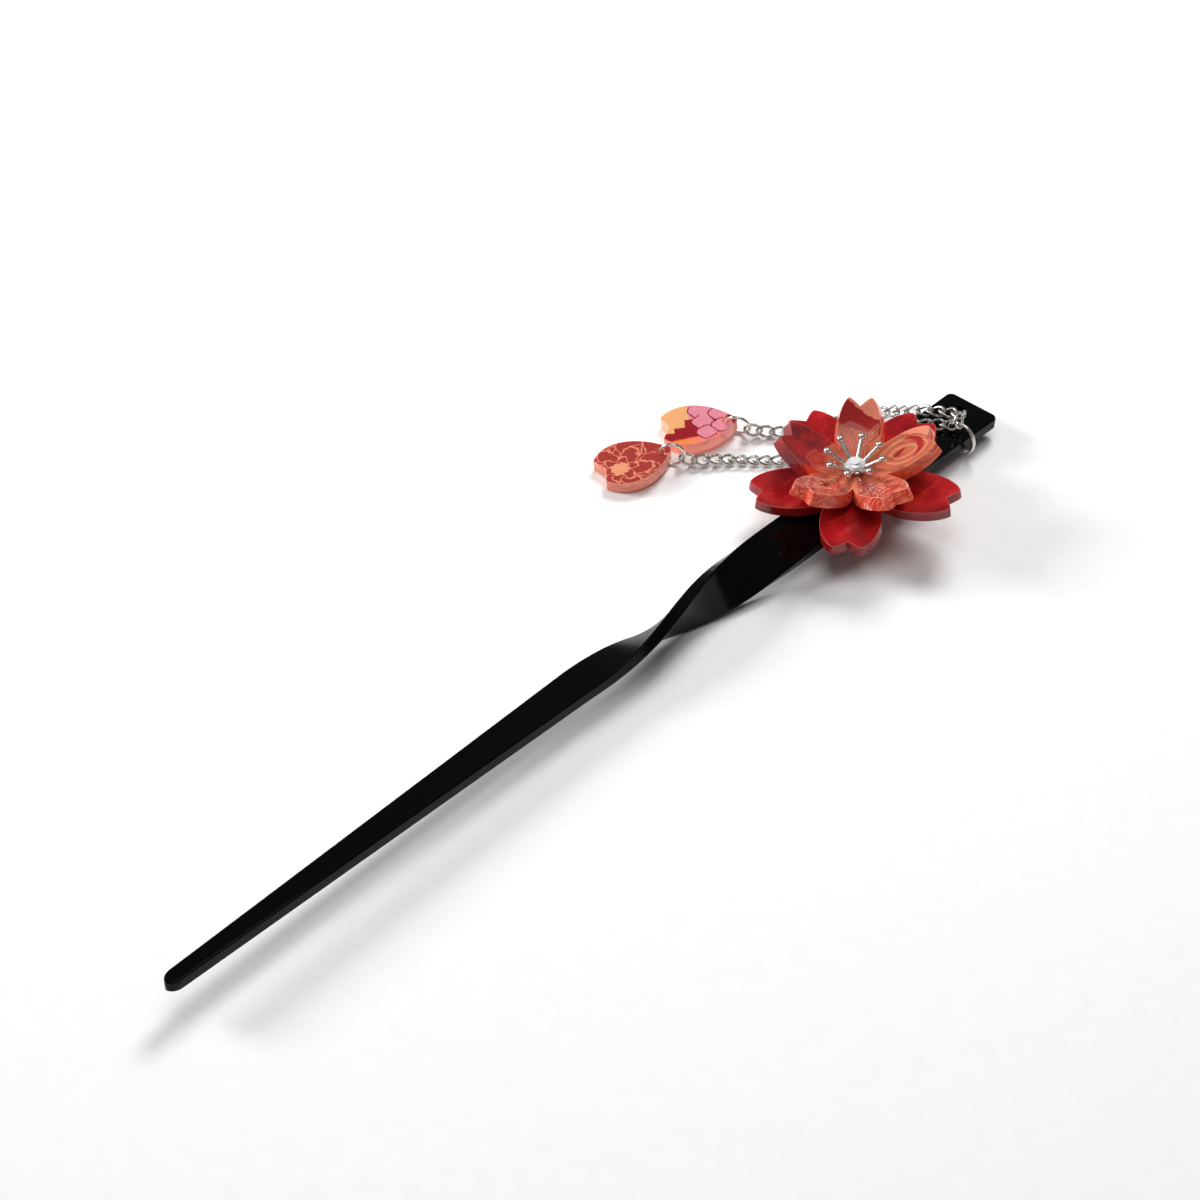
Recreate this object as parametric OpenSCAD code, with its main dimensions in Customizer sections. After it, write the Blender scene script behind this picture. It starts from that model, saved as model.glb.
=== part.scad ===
/* [Stick] */
// Length of the hair stick from the square head to the rounded tip
stick_len = 175; // [150:1:200]
// Thickness of the stick
stick_t = 2.0; // [1.8:0.1:2.4]
// Width at the square head end
head_w = 10.1; // [9.5:0.1:11]
// Width where the twist starts
neck_w = 9.4; // [9:0.1:10]
// Width halfway through the twist
twist_w = 7.4; // [7:0.1:8]
// Width where the twist ends and the blade starts
blade_w = 5.8; // [5:0.1:6.5]
// Width just before the rounded tip
tip_w = 2.5; // [2.2:0.1:3]
// Distance from the head end to the start of the half turn
twist_from = 26.5; // [22:0.5:30]
// Distance from the head end to the end of the half turn
twist_to = 95; // [90:1:100]
// Radius of the square head's two corners
head_corner = 1.1; // [0.8:0.1:1.6]

/* [Lie] */
// Angle by which the tip end is raised, as the twist props the stick up
lie_pitch = 0.95; // [0.8:0.05:1.2]
// Height of the middle of the head end above the surface
head_z = 2.58; // [2.56:0.01:2.8]

/* [Holes] */
// Radius of the open hanging hole near the head end
hang_hole_r = 0.65; // [0.6:0.05:0.8]
// Distance of the hanging hole from the head end
hang_hole_at = 2.6; // [2.2:0.1:3]
// Offset of the hanging hole to the far side
hang_hole_y = 1.1; // [0.6:0.1:1.4]
// Radius of the hole that the head ring passes through
ring_hole_r = 0.8; // [0.75:0.05:0.9]
// Distance of the ring's hole from the head end
ring_hole_at = 8.2; // [7.8:0.1:8.6]

/* [Flower] */
// Distance of the flower's middle from the head end
flower_at = 32.2; // [30:0.1:34]
// Offset of the flower's middle from the stick's centre line
flower_y = -0.8; // [-1.4:0.1:0]
// Height of the glued foot between the stick and the flower
foot_h = 1.5; // [1.4:0.05:1.6]
// Lean of the flower towards the tip end
flower_lean = 7.2; // [6:0.2:8]
// Lean of the flower towards the far side
side_lean = 1.5; // [0:0.5:2]
// Thickness of the lower layer's acrylic
lower_t = 1.7; // [1.5:0.1:2.2]
// Distance from the middle to the lower petals' twin points
lower_reach = 17.2; // [16.5:0.1:18]
// Slope of the lower petals
lower_slope = 5; // [3:1:8]
// Thickness of the upper layer's acrylic
upper_t = 2.2; // [2:0.1:2.6]
// Distance from the middle to the upper petals' twin points, before bending
upper_reach = 14.7; // [14:0.1:15.2]
// Bend radius of the upper petals
upper_bend = 13.8; // [12:0.2:16]

/* [Stamens] */
// Radius of the circle of ball tips
stamen_r = 4.5; // [4.2:0.1:5]
// Height of the ball tips above the upper layer
stamen_h = 2.7; // [2.2:0.1:3]
// Diameter of each ball tip
ball_d = 1.3; // [1.1:0.1:1.4]
// Diameter of each filament
filament_d = 0.6; // [0.5:0.05:0.7]
// Number of filaments
stamen_count = 8; // [6:1:9]
// Diameter of the clear stone
stone_d = 3.2; // [3:0.1:3.3]

/* [Rings and chains] */
// Mean radius of the ring through the head
head_ring_r = 2.7; // [2.65:0.05:2.7]
// Wire diameter of the ring through the head
head_ring_wire = 0.65; // [0.55:0.05:0.65]
// Mean radius of the ring on each drop
drop_ring_r = 2.05; // [2:0.05:2.15]
// Wire diameter of the drop rings and the chain links
link_wire = 0.5; // [0.4:0.05:0.5]
// Pitch of the chain
link_pitch = 2.05; // [2.05:0.05:2.1]
// Half length of a link's wire loop
link_a = 1.44; // [1.42:0.02:1.46]
// Half width of a link's wire loop
link_b = 0.88; // [0.84:0.02:0.9]
// Roll of each end of a twisted link
link_roll = 54; // [50:1:56]

/* [Drops] */
// Length of a petal-shaped drop from its point to its twin lobes
drop_len = 12.5; // [12:0.1:13.5]
// Greatest width of a drop
drop_w = 10.0; // [9.5:0.1:10.5]
// Thickness of a drop
drop_t = 2.0; // [1.8:0.1:2.2]
// Angle by which the ring props up a drop's point
drop_tilt = 5.0; // [4.8:0.1:5.4]

/* [Hidden] */

// The origin is on the surface, at the middle of the whole thing seen from above.
head_x = 87.5;
axis_y = -10.1;

// Stick: rows of [distance from the head end, width], then the twist
width_rows = [[0, head_w], [twist_from, neck_w], [(twist_from + twist_to) / 2, twist_w],
    [twist_to, blade_w], [stick_len, tip_w]];
// Sideways set of the blade where the twist ends, as rows of [distance, offset]
set_rows = [[0, 0], [(twist_from + twist_to) / 2, 0], [twist_to, 0.95], [stick_len, 0]];
edge_round = 0.3;
tip_round = 1.8;
head_steps = 4;
tip_steps = 7;
twist_steps = 40;
blade_steps = 6;
twist_delay = 1.57;

// Layers and gaps
seat_gap = 0.05;
layer_gap = 0.1;
foot_r = 3.2;
lower_hub = 4;
lower_bend = 50;
upper_hub = 2.1;
flower_turn = -1.3;
disc_r = 1.9;
disc_t = 0.5;

// Slope to which each upper petal is bent, starting from the one left of the head end
upper_slopes = [41, 38, 36, 31, 28];
lower_slopes = [lower_slope, lower_slope, lower_slope + 5, lower_slope + 1, lower_slope + 1];

function smooth(u) = u * u * (3 - 2 * u);
function clamp01(u) = min(1, max(0, u));
function turn(p, a) = [p[0] * cos(a) - p[1] * sin(a), p[0] * sin(a) + p[1] * cos(a)];
function bezier(p, t) = pow(1 - t, 3) * p[0] + 3 * t * pow(1 - t, 2) * p[1]
    + 3 * t * t * (1 - t) * p[2] + pow(t, 3) * p[3];

// Stick section at a distance s from the head end: round corners in plan at the head and tip
function head_cut(s) = s >= head_corner ? 0
    : head_corner - sqrt(pow(head_corner, 2) - pow(head_corner - s, 2));
function tip_scale(s) = s <= stick_len - tip_round ? 1
    : sqrt(max(0.04, 1 - pow((s - stick_len + tip_round) / tip_round, 2)));
function stick_w(s) = lookup(s, width_rows) * tip_scale(s) - 2 * head_cut(s);
function stick_thick(s) = stick_t * (0.8 + 0.2 * tip_scale(s));
function stick_roll(s) =
    -180 * smooth(pow(clamp01((s - twist_from) / (twist_to - twist_from)), twist_delay));
corner_fan = [0, 30, 60, 90];
function section(s) =
    let (r = min(edge_round, stick_w(s) * 0.3), x = stick_w(s) / 2 - r, y = stick_thick(s) / 2 - r)
    [for (q = [0 : 3], a = corner_fan)
        let (sx = (q == 0 || q == 3) ? 1 : -1, sy = q < 2 ? 1 : -1)
        [sx * x + r * cos(q * 90 + a), sy * y + r * sin(q * 90 + a)]];
function stations() = concat(
    [for (i = [0 : head_steps]) head_corner * (1 - cos(90 * i / head_steps))],
    [for (i = [0 : twist_steps]) twist_from + (twist_to - twist_from) * i / twist_steps],
    [for (i = [1 : blade_steps]) twist_to + (stick_len - tip_round - twist_to) * i / blade_steps],
    [for (i = [1 : tip_steps]) stick_len - tip_round + tip_round * sin(90 * i / tip_steps)]);

// A loft through rings of equal length, closed by a flat face at each end
module loft(rings) {
    n = len(rings[0]);
    m = len(rings);
    points = [for (ring = rings, p = ring) p];
    sides = [for (i = [0 : m - 2], j = [0 : n - 1])
        let (k = (j + 1) % n) each [[i * n + j, i * n + k, (i + 1) * n + k],
            [i * n + j, (i + 1) * n + k, (i + 1) * n + j]]];
    start = [for (j = [n - 1 : -1 : 0]) j];
    end = [for (j = [0 : n - 1]) (m - 1) * n + j];
    polyhedron(points, concat(sides, [start, end]));
}

// Places a child in the stick's own frame: x = 0 at the head end, the tip towards -X
module on_stick() {
    translate([head_x, axis_y, head_z]) rotate([0, lie_pitch, 0]) children();
}

module stick() {
    color([0.03, 0.03, 0.04]) on_stick() difference() {
        loft([for (s = stations())
            let (roll = stick_roll(s), set = lookup(s, set_rows))
            [for (p = section(s))
                [-s, set + p[0] * cos(roll) + p[1] * sin(roll), -p[0] * sin(roll) + p[1] * cos(roll)]]]);
        translate([-hang_hole_at, hang_hole_y, -stick_t]) cylinder(h = 2 * stick_t, r = hang_hole_r, $fn = 32);
        translate([-ring_hole_at, ring_hole_y, -stick_t]) cylinder(h = 2 * stick_t, r = ring_hole_r, $fn = 32);
    }
}

// Flower frame: on the foot, with the first petal towards the head end
module on_flower(h = 0) {
    on_stick() translate([-flower_at, flower_y, stick_t / 2 + foot_h])
        rotate([0, -flower_lean, 0]) rotate([-side_lean, 0, flower_turn]) translate([0, 0, h]) children();
}

module glued_foot() {
    color([0.85, 0.85, 0.82]) difference() {
        on_stick() translate([-flower_at, flower_y, stick_t / 2 + seat_gap])
            cylinder(h = 2 * foot_h, r = foot_r, $fn = 48);
        on_flower(-seat_gap) translate([-10, -10, 0]) cube([20, 20, 10]);
    }
}

// Half outline of a petal in the flat sheet, from the notch past one point to the cleft
function half_petal(reach, notch_depth, point_y, bulge, cleft) =
    let (tip = [sqrt(reach * reach - point_y * point_y), point_y], notch = [reach - notch_depth, 0],
        curve = [tip, [reach * 0.9, bulge * 1.02], [reach * 0.56, bulge * 1.3],
            [cleft * cos(36), cleft * sin(36)]])
    concat([notch, [notch[0] + notch_depth * 0.42, point_y * 0.36], [tip[0] - 0.15, tip[1] - 0.6]],
        [for (i = [0 : 8]) bezier(curve, i / 8)]);
// Whole outline of five petals, counter-clockwise
function blossom(reach, notch_depth, point_y, bulge, cleft) =
    let (half = half_petal(reach, notch_depth, point_y, bulge, cleft), n = len(half))
    [for (k = [0 : 4]) each concat(
        [for (i = [n - 2 : -1 : 1]) turn([half[i][0], -half[i][1]], 72 * k)],
        [for (i = [0 : n - 1]) turn(half[i], 72 * k)])];

// A blossom cut from a sheet of thickness t. Each petal is bent upwards outside the hub, round
// the bend radius, until it has its own slope.
module bent_blossom(outline, t, hub, bend, slopes, rim) {
    n = len(outline);
    steps = [0.2, 0.36, 0.52, 0.68, 0.84];
    // Each row is [share of the outline's reach, inset at the rim, share of the thickness]
    rows = concat([for (f = steps) [f, 0, 1]],
        [[1, rim, 1], [1, 0, 1 - rim / t], [1, 0, rim / t], [1, rim, 0]],
        [for (i = [4 : -1 : 0]) [steps[i], 0, 0]]);
    points = [for (row = rows, p = outline) bent(p, row, t, hub, bend, slopes)];
    top = len(points);
    m = len(rows);
    sides = [for (i = [0 : m - 2], j = [0 : n - 1])
        let (k = (j + 1) % n) each [[i * n + j, i * n + k, (i + 1) * n + k],
            [i * n + j, (i + 1) * n + k, (i + 1) * n + j]]];
    fans = [for (j = [0 : n - 1]) let (k = (j + 1) % n)
        each [[top, k, j], [top + 1, (m - 1) * n + j, (m - 1) * n + k]]];
    polyhedron(concat(points, [[0, 0, t], [0, 0, 0]]), concat(sides, fans));
}
function slope_at(slopes, p) =
    let (u = (atan2(p[1], p[0]) + 360) % 360 / 72, k = floor(u), blend = smooth(u - k))
    slopes[k] * (1 - blend) + slopes[(k + 1) % 5] * blend;
function bent(p, row, t, hub, bend, slopes) =
    let (flat = norm(p), along = flat * row[0] - row[1], slope = slope_at(slopes, p),
        a = min(slope, max(0, along - hub) / bend * 180 / PI),
        straight = max(0, along - hub - bend * slope * PI / 180),
        r = min(along, hub) + bend * sin(a) + straight * cos(a),
        z = bend * (1 - cos(a)) + straight * sin(a), up = t * row[2])
    [p[0] / flat * (r - up * sin(a)), p[1] / flat * (r - up * sin(a)), z + up * cos(a)];

module lower_flower() {
    color([0.72, 0.08, 0.09]) on_flower() bent_blossom(blossom(lower_reach, 1.6, 2.35, 4.6, 6.8),
        lower_t, lower_hub, lower_bend, lower_slopes, 0.4);
}

upper_z = lower_t + layer_gap;
module upper_flower() {
    color([0.9, 0.42, 0.3]) on_flower(upper_z) rotate([0, 0, 36])
        bent_blossom(blossom(upper_reach, 1.5, 2.35, 3.95, 5.6), upper_t, upper_hub, upper_bend,
            upper_slopes, 0.35);
}

// Cast spray: a disc with filaments, each with a ball tip, and a low cup for the stone
disc_z = upper_z + upper_t + seat_gap;
stamen_turn = 26;
filament_rise = stamen_h - disc_t / 2;
filament_run = stamen_r - disc_r + 0.2;
filament_len = norm([filament_run, filament_rise]);
module stamens() {
    color([0.8, 0.8, 0.82]) on_flower(disc_z) union() {
        cylinder(h = disc_t, r = disc_r, $fn = 40);
        for (k = [0 : stamen_count - 1]) rotate([0, 0, stamen_turn + 360 * k / stamen_count]) {
            translate([stamen_r - filament_run, 0, disc_t / 2])
                rotate([0, atan2(filament_run, filament_rise), 0])
                    cylinder(h = filament_len, d = filament_d, $fn = 16);
            translate([stamen_r, 0, stamen_h]) sphere(d = ball_d, $fn = 24);
        }
    }
}

// Cut stone: eight-sided table, eight main crown facets with eight pairs between, flat back
module centre_stone() {
    r = stone_d / 2;
    table = [for (k = [0 : 7]) [0.55 * r * cos(45 * k), 0.55 * r * sin(45 * k), 0.95]];
    star = [for (k = [0 : 7]) [0.82 * r * cos(45 * k + 22.5), 0.82 * r * sin(45 * k + 22.5), 0.66]];
    girdle = [for (k = [0 : 15]) [r * cos(22.5 * k), r * sin(22.5 * k), 0.3]];
    base = [for (k = [0 : 15]) [r * cos(22.5 * k), r * sin(22.5 * k), 0]];
    crown = [for (k = [0 : 7]) let (n = (k + 1) % 8, g = 16 + 2 * k, h = 16 + (2 * k + 2) % 16)
        each [[k, 8 + k, n], [k, g, 8 + k], [g, g + 1, 8 + k], [g + 1, h, 8 + k], [h, n, 8 + k]]];
    wall = [for (k = [0 : 15]) let (n = (k + 1) % 16)
        each [[16 + k, 32 + k, 32 + n], [16 + k, 32 + n, 16 + n]]];
    caps = [[for (k = [0 : 7]) k], [for (k = [15 : -1 : 0]) 32 + k]];
    color([0.92, 0.94, 0.97]) on_flower(disc_z + disc_t + seat_gap)
        polyhedron(concat(table, star, girdle, base),
            [for (f = concat(crown, wall, caps)) [for (i = [len(f) - 1 : -1 : 0]) f[i]]]);
}

// Head ring: upright across the stick, through its hole and round the near edge
head_ring_y = -3.5;
head_ring_z = -0.65;
ring_hole_y = -1.0;
module ring(r, wire) {
    rotate_extrude($fn = 64) translate([r, 0]) circle(d = wire, $fn = 24);
}
module head_ring() {
    color([0.82, 0.82, 0.84]) on_stick()
        translate([-ring_hole_at, head_ring_y, stick_t / 2 + head_ring_z]) rotate([0, 90, 0])
            ring(head_ring_r, head_ring_wire);
}

// Small jump ring that joins the far chain to the head ring, from below the middle of the head end
chain_ring_r = 1.3;
chain_ring_at = [-7.6, -2.45, 5.7];
chain_ring_axis = [-0.25, 0.9, -0.33];
module chain_ring() {
    n = chain_ring_axis;
    color([0.82, 0.82, 0.84]) translate([head_x, axis_y, 0]) translate(chain_ring_at)
        rotate([0, acos(n[2] / norm(n)), atan2(n[1], n[0])]) ring(chain_ring_r, link_wire);
}

// Chains: routes from the head ring over the far edge and along the surface, measured from
// below the middle of the head end, with the roll of the link there in degrees as the fourth
// number. A link lies at each step of the pitch.
link_sides = 6;
link_steps = 12;
link_square = 2.5;
far_from = [-6.4, -2.0, 6.0];
far_route = [[-6.3, -1.4, 5.7, 5], [-6.5, 0.3, 5.3, -5], [-7.4, 2.3, 5.0, -10], [-8.4, 4.0, 4.8, -15],
    [-9.2, 5.7, 4.4, -15], [-9.7, 7.1, 3.5, -35], [-9.6, 8.7, 3.0, -35], [-10.2, 11.3, 1.5, -35],
    [-11.0, 12.6, 1.0, -25], [-13.6, 14.5, 1.0, -35], [-19.1, 16.5, 0.8, -5], [-22.5, 18.8, 0.9, 10],
    [-23.8, 19.7, 0.9, -10], [-25.5, 21.0, 1.0, -20], [-26.9, 22.4, 1.2, -40], [-28.3, 24.1, 1.4, -55],
    [-28.9, 24.6, 1.3, -75]];
far_to = [-28.7, 24.5, 1.5];
near_from = [-8.0, -1.6, 4.6];
near_route = [[-8.5, -1.1, 4.6, -5], [-9.9, 0.2, 4.8, -20], [-11.8, 2.0, 4.9, -10],
    [-13.2, 3.3, 4.9, -10], [-14.6, 5.0, 4.7, -20], [-15.9, 6.7, 3.8, -20], [-17.1, 8.5, 2.6, -25],
    [-18.5, 10.4, 1.4, -15], [-20.8, 12.4, 0.9, -10], [-24.3, 13.6, 0.8, 5], [-29.0, 14.7, 0.9, 0],
    [-32.3, 17.6, 0.8, 0], [-35.4, 21.2, 0.8, 10], [-36.9, 22.7, 0.9, -5], [-38.3, 24.0, 1.0, 0],
    [-39.9, 25.4, 1.1, -25], [-41.4, 26.8, 1.4, -50], [-42.3, 27.5, 1.6, -60]];
near_to = [-41.9, 27.3, 1.6];
fine = 12;
function spline_point(p, i, t) =
    let (a = p[max(0, i - 1)], b = p[i], c = p[i + 1], d = p[min(len(p) - 1, i + 2)])
    0.5 * (2 * b + (c - a) * t + (2 * a - 5 * b + 4 * c - d) * t * t
        + (3 * b - a - 3 * c + d) * t * t * t);
function spline(p) = concat([for (i = [0 : len(p) - 2], j = [0 : fine - 1]) spline_point(p, i, j / fine)],
    [p[len(p) - 1]]);
// First place on the curve, from index i on, that lies one pitch from the point q
function place(p) = [p[0], p[1], p[2]];
function away(a, b) = norm(place(a) - place(b));
function reach_index(c, q, i) = i >= len(c) - 1 || away(c[i], q) >= link_pitch ? i : reach_index(c, q, i + 1);
function step_point(c, q, i) =
    let (b = c[i], a = c[i - 1], da = away(a, q), db = away(b, q))
    a + (b - a) * (link_pitch - da) / (db - da);
function link_places(c, q, i) =
    let (j = reach_index(c, q, i))
    j >= len(c) - 1 ? [q] : concat([q], link_places(c, step_point(c, q, j), j));
function unit(v) = v / norm(v);
function link_point(t, a, b) =
    let (c = cos(t), s = sin(t), x = a * sign(c) * pow(abs(c), 2 / link_square),
        r = b * sign(s) * pow(abs(s), 2 / link_square), roll = link_roll * x / a)
    [x, r * cos(roll), r * sin(roll)];
// One closed loop of wire, bent to the twisted oval, at the place o with axes x, y and z
function link_rings(o, x, y, z) =
    [for (k = [0 : link_steps - 1])
        let (t = 360 * (k + 0.5) / link_steps, p = link_point(t, link_a, link_b),
            q = link_point(t + 4, link_a, link_b), w = link_point(t - 4, link_a, link_b),
            along = unit(q - w), out = unit(cross(along, unit(cross(p, along)))), up = cross(along, out))
        [for (j = [0 : link_sides - 1])
            let (v = p + link_wire / 2 * (cos(360 * j / link_sides) * out + sin(360 * j / link_sides) * up))
            o + v[0] * x + v[1] * y + v[2] * z]];
// A chain along a route: its first link hangs on a ring at the point from, its last one at to
module chain(from, route, to) {
    places = link_places(spline(route), route[0], 1);
    last = len(places) - 1;
    n = link_steps * link_sides;
    points = [for (i = [0 : last])
        let (here = place(places[i]), roll = places[i][3],
            behind = i == last ? here : i == 0 ? from : place(places[i - 1]),
            ahead = i == 0 ? here : i == last ? to : place(places[i + 1]), x = unit(ahead - behind),
            side = unit(cross([0, 0, 1], x)), rise = cross(x, side), y = side * cos(roll) + rise * sin(roll))
        each [for (ring = link_rings(here, x, y, cross(x, y))) each ring]];
    faces = [for (i = [0 : last], k = [0 : link_steps - 1], j = [0 : link_sides - 1])
        let (a = i * n + k * link_sides, b = i * n + ((k + 1) % link_steps) * link_sides,
            h = (j + 1) % link_sides)
        each [[a + j, b + h, a + h], [a + j, b + j, b + h]]];
    translate([head_x, axis_y, 0]) polyhedron(points, faces);
}
module far_chain() {
    color([0.78, 0.78, 0.8]) chain(far_from, far_route, far_to);
}
module near_chain() {
    color([0.78, 0.78, 0.8]) chain(near_from, near_route, near_to);
}

// Drops: flat petals with a drilled point, propped on their upright rings. Each place is the
// drilled hole's, measured from below the middle of the head end.
far_hole = [-30.6, 27.7];
far_turn = 138.4;
far_ring_turn = -62.3;
far_ring_lean = -15;
near_hole = [-44.1, 30.25];
near_turn = 155.4;
near_ring_turn = -54;
near_ring_lean = 0;
hole_inset = 1.8;
drop_hole_r = 0.8;
ring_reach = 1.78;
drop_back = [drop_len, 2.8];
drop_notch = 1.1;
function drop_side() =
    concat([for (a = [0 : 30 : 60]) [0.9 - 0.9 * cos(a), 0.9 * sin(a)]],
        [for (i = [1 : 10]) bezier([[0.45, 0.78], [4.2, drop_w * 0.56], [9.6, drop_w * 0.66], drop_back], i / 10)],
        [[drop_len - 0.25, drop_back[1] - 0.7]]);
function drop_outline() =
    concat(drop_side(), [[drop_len - drop_notch, 0]],
        [for (i = [len(drop_side()) - 1 : -1 : 1]) [drop_side()[i][0], -drop_side()[i][1]]]);
module drop(hole, heading) {
    translate([head_x + hole[0], axis_y + hole[1], 0]) rotate([0, 0, heading])
        translate([drop_len - hole_inset, 0, 0.03]) rotate([0, drop_tilt, 0])
            translate([-(drop_len - hole_inset), 0, 0]) difference() {
                translate([-hole_inset, 0, 0]) linear_extrude(drop_t) polygon(drop_outline());
                translate([0, 0, -1]) cylinder(h = drop_t + 2, r = drop_hole_r, $fn = 32);
            }
}
// An upright ring that leans to one side and is held by the drop's hole halfway up its sheet
hole_height = 1.96;
module drop_ring(hole, heading, lean) {
    height = drop_ring_r * cos(lean) + link_wire / 2 + 0.01;
    at = turn([ring_reach, -tan(lean) * (hole_height - height)], heading);
    translate([head_x + hole[0] + at[0], axis_y + hole[1] + at[1], height])
        rotate([90 - lean, 0, heading]) ring(drop_ring_r, link_wire);
}
module far_drop() {
    color([0.9, 0.5, 0.42]) drop(far_hole, far_turn);
}
module near_drop() {
    color([0.72, 0.2, 0.14]) drop(near_hole, near_turn);
}
module far_ring() {
    color([0.82, 0.82, 0.84]) drop_ring(far_hole, far_ring_turn, far_ring_lean);
}
module near_ring() {
    color([0.82, 0.82, 0.84]) drop_ring(near_hole, near_ring_turn, near_ring_lean);
}

stick();
glued_foot();
lower_flower();
upper_flower();
stamens();
centre_stone();
head_ring();
chain_ring();
far_chain();
near_chain();
far_ring();
near_ring();
far_drop();
near_drop();
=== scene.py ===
import math

import bmesh
import bpy
from mathutils import Matrix, Vector


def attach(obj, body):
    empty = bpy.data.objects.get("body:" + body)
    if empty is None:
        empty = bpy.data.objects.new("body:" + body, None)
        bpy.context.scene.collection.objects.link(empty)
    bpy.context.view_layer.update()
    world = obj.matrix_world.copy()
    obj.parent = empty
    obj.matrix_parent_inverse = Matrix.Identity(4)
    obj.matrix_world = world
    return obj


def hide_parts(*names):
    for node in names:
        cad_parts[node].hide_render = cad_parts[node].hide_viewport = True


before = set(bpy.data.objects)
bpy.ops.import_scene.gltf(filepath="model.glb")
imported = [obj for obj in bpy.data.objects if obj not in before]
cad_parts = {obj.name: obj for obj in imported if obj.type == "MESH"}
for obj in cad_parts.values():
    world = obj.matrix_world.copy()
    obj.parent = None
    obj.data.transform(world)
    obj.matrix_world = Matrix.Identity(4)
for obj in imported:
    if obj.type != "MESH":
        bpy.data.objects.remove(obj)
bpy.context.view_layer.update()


# Stick
# The stick is one strip of polished black acrylic, sawn to a taper, softened with heat and
# given a half turn. Its long edges are rounded, and two holes are drilled near the square head.

MM = 0.001
STICK_LENGTH = 175.0
STICK_THICKNESS = 2.0
# Rows of (distance from the head, width) and of (distance from the head, sideways set)
STICK_WIDTHS = [(0, 10.1), (26.5, 9.4), (60.75, 7.4), (95, 5.8), (175, 2.5)]
STICK_SETS = [(0, 0), (60.75, 0), (95, 0.95), (175, 0)]
TWIST_FROM = 26.5
TWIST_TO = 95.0
TWIST_DELAY = 1.57
HEAD_CORNER = 1.1
HEAD_EDGE = 0.15
TIP_ROUND = 1.8
TIP_BLUNTNESS = 0.04
LONG_EDGE = 0.3
SECTION_SIDES = 32
HANGING_HOLE = (-2.6, 1.1)
HANGING_HOLE_RADIUS = 0.65
RING_HOLE = (-8.2, -1.0)
RING_HOLE_RADIUS = 0.8
HOLE_RIM = 0.1
DRILL_HEIGHT = 6
STICK_HEIGHT = 2.58
STICK_PITCH = 0.95
head_place = Matrix.Translation((87.5, -10.1, 0))
on_stick = (head_place @ Matrix.Translation((0, 0, STICK_HEIGHT))
            @ Matrix.Rotation(math.radians(STICK_PITCH), 4, "Y"))


def value_at(rows, s):
    for (s0, v0), (s1, v1) in zip(rows, rows[1:]):
        if s <= s1:
            return v0 + (v1 - v0) * (s - s0) / (s1 - s0)
    return rows[-1][1]


def ease(u):
    u = min(1, max(0, u))
    return u * u * (3 - 2 * u)


def round_inset(s, radius):
    return 0 if s >= radius else radius - math.sqrt(radius ** 2 - (radius - s) ** 2)


def stick_ring(s):
    """Width, thickness, roll in radians and sideways set of the stick at a distance s from the head.
    The power TWIST_DELAY makes the turn start slowly, as it does on the bent strip."""
    tip = 1.0
    if s > STICK_LENGTH - TIP_ROUND:
        tip = math.sqrt(max(TIP_BLUNTNESS, 1 - ((s - STICK_LENGTH + TIP_ROUND) / TIP_ROUND) ** 2))
    edge = round_inset(s, HEAD_EDGE)
    width = value_at(STICK_WIDTHS, s) * tip - 2 * round_inset(s, HEAD_CORNER) - 2 * edge
    thickness = STICK_THICKNESS * (0.8 + 0.2 * tip) - 2 * edge
    turned = (s - TWIST_FROM) / (TWIST_TO - TWIST_FROM)
    roll = -math.pi * ease(min(1, max(0, turned)) ** TWIST_DELAY)
    return width, thickness, roll, value_at(STICK_SETS, s)


def lay_ring(verts, directions, s):
    """Moves a ring of vertices to the stick's rounded section at a distance s from the head."""
    width, thickness, roll, sideways = stick_ring(s)
    r = min(LONG_EDGE, width * 0.3, thickness * 0.45)
    for vert, (cx, cy) in zip(verts, directions):
        across = math.copysign(width / 2 - r, cx) + r * cx
        up = math.copysign(thickness / 2 - r, cy) + r * cy
        vert.co = (-s, sideways + across * math.cos(roll) + up * math.sin(roll),
                   -across * math.sin(roll) + up * math.cos(roll))


def grow_ring(bm, edges, spot):
    """Extrudes a loop of edges and gives its new edges, and its new vertices in the loop's order."""
    grown = bmesh.ops.extrude_edge_only(bm, edges=edges)["geom"]
    verts = sorted((g for g in grown if isinstance(g, bmesh.types.BMVert)), key=lambda v: v[spot])
    return [g for g in grown if isinstance(g, bmesh.types.BMEdge) and g.verts[0] in verts
            and g.verts[1] in verts], verts


def start_ring(bm, segments, radius, place=Matrix.Identity(4)):
    """Makes a circle of numbered vertices. Gives its number layer, its edges and its vertices."""
    spot = bm.verts.layers.int.get("spot") or bm.verts.layers.int.new("spot")
    ring = bmesh.ops.create_circle(bm, segments=segments, radius=radius, matrix=place)["verts"]
    for i, vert in enumerate(ring):
        vert[spot] = i
    return spot, list({e for v in ring for e in v.link_edges}), ring


def make_piece(bm, name, place, materials, sharp_over=None):
    """Turns a bmesh in millimetres into a piece of the scene, with its place in its mesh."""
    bmesh.ops.transform(bm, matrix=Matrix.Scale(MM, 4) @ place, verts=bm.verts)
    bmesh.ops.recalc_face_normals(bm, faces=bm.faces)
    for face in bm.faces:
        face.smooth = True
    if sharp_over is not None:
        for edge in bm.edges:
            if len(edge.link_faces) == 2 and edge.calc_face_angle() > math.radians(sharp_over):
                edge.smooth = False
    mesh = bpy.data.meshes.new(name)
    bm.to_mesh(mesh)
    bm.free()
    for material in materials:
        mesh.materials.append(material)
    piece = bpy.data.objects.new(name, mesh)
    bpy.context.scene.collection.objects.link(piece)
    return piece


def even_normals(piece):
    even = piece.modifiers.new("even_normals", "WEIGHTED_NORMAL")
    even.keep_sharp = True
    even.weight = 80


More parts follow.
